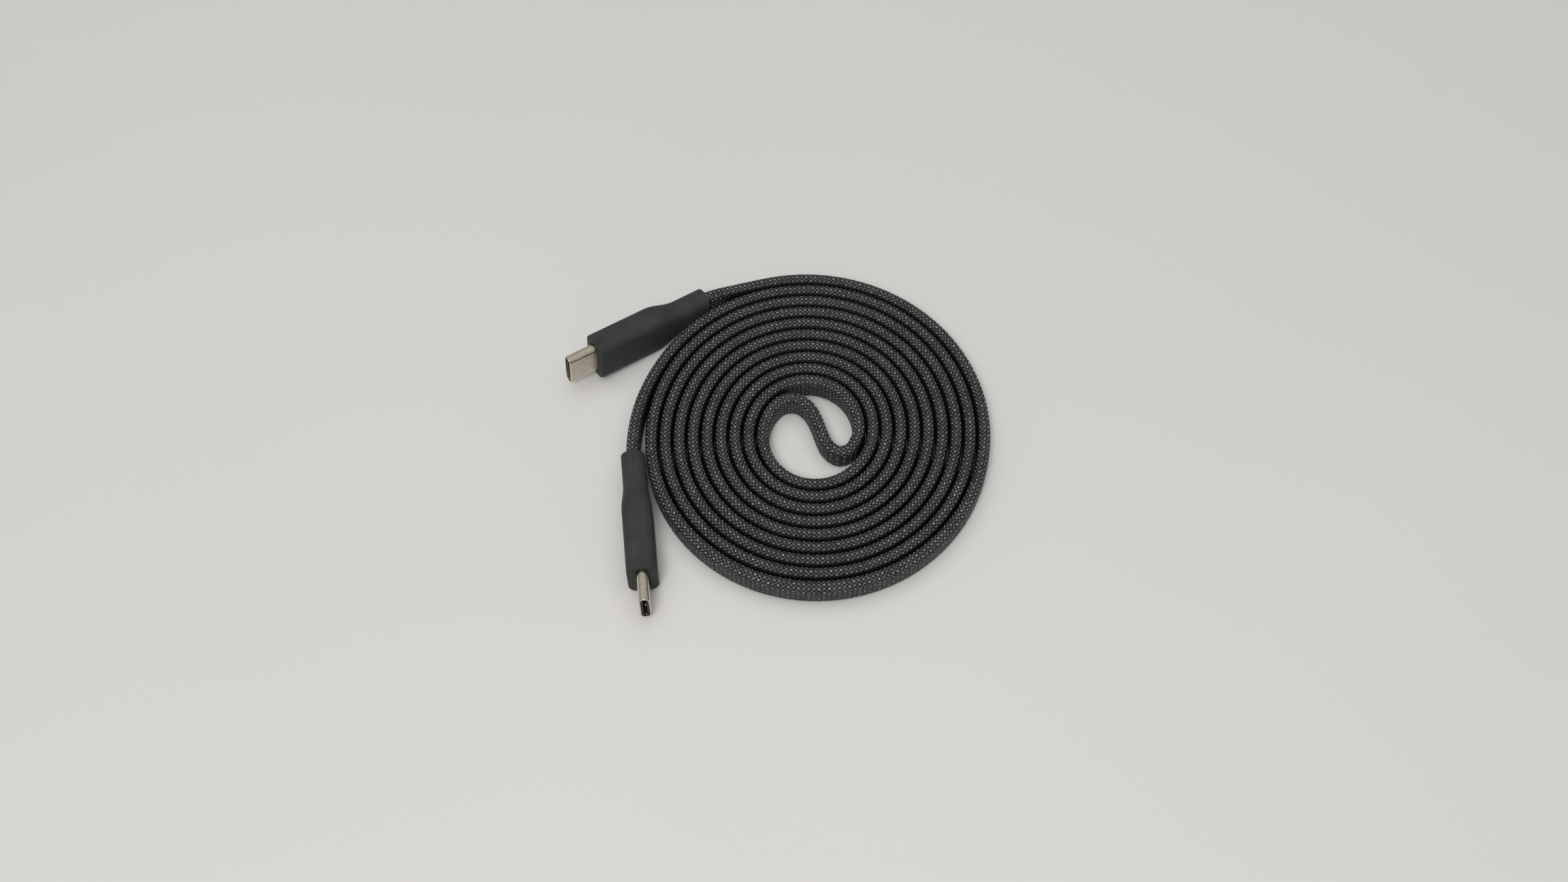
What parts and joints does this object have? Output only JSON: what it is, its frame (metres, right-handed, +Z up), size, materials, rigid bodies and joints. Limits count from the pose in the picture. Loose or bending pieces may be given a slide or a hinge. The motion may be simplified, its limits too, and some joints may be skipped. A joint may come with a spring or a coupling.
{
  "type": "charging cable",
  "caption": "Flat braided charging cable with a moulded reversible plug at each end, laid on its edge as a flat double spiral.",
  "frame": {"origin": "middle of the coil, on the surface that the cable lies on", "axes": "+Z up, out of the surface; +X to the right and +Y away from someone who has both plugs at their left"},
  "size_m": [0.0951, 0.0859, 0.0126],
  "materials": {
    "braid": "woven charcoal sleeve with light grey flecks",
    "overmold": "matte dark grey soft-touch",
    "shell": "nickel plated",
    "insulator": "black",
    "contact": "gold plated",
    "sheet": "bare stamped steel",
    "board": "green solder mask",
    "chip": "black epoxy",
    "passive": "tan ceramic",
    "solder": "bright solder",
    "copper": "stranded copper",
    "insulation": "coloured wire insulation",
    "jacket": "black jacket",
    "can": "tinned sheet",
    "mould": "natural hard plastic"
  },
  "bodies": {
    "root": {"cord_coil": "braid", "cord_lead_a": "braid", "cord_lead_b": "braid", "plug_a_overmold": "overmold", "plug_a_shell": "shell", "plug_a_insulator": "insulator", "plug_a_upper_contacts": "contact", "plug_a_lower_contacts": "contact", "plug_a_side_latch": "sheet", "plug_a_ground_springs": "sheet", "plug_a_board": "board", "plug_a_marker_chip": "chip", "plug_a_passives": "passive", "plug_a_solder": "solder", "plug_a_wire_cores": "copper", "plug_a_wires": "insulation", "plug_a_cord_end": "jacket", "plug_a_ferrule": "can", "plug_a_can_upper": "can", "plug_a_can_lower": "can", "plug_a_inner_mould": "mould", "plug_b_overmold": "overmold", "plug_b_shell": "shell", "plug_b_insulator": "insulator", "plug_b_upper_contacts": "contact", "plug_b_lower_contacts": "contact", "plug_b_side_latch": "sheet", "plug_b_ground_springs": "sheet", "plug_b_board": "board", "plug_b_passives": "passive", "plug_b_solder": "solder", "plug_b_wire_cores": "copper", "plug_b_wires": "insulation", "plug_b_cord_end": "jacket", "plug_b_ferrule": "can", "plug_b_can_upper": "can", "plug_b_can_lower": "can", "plug_b_inner_mould": "mould"}
  },
  "joints": []
}
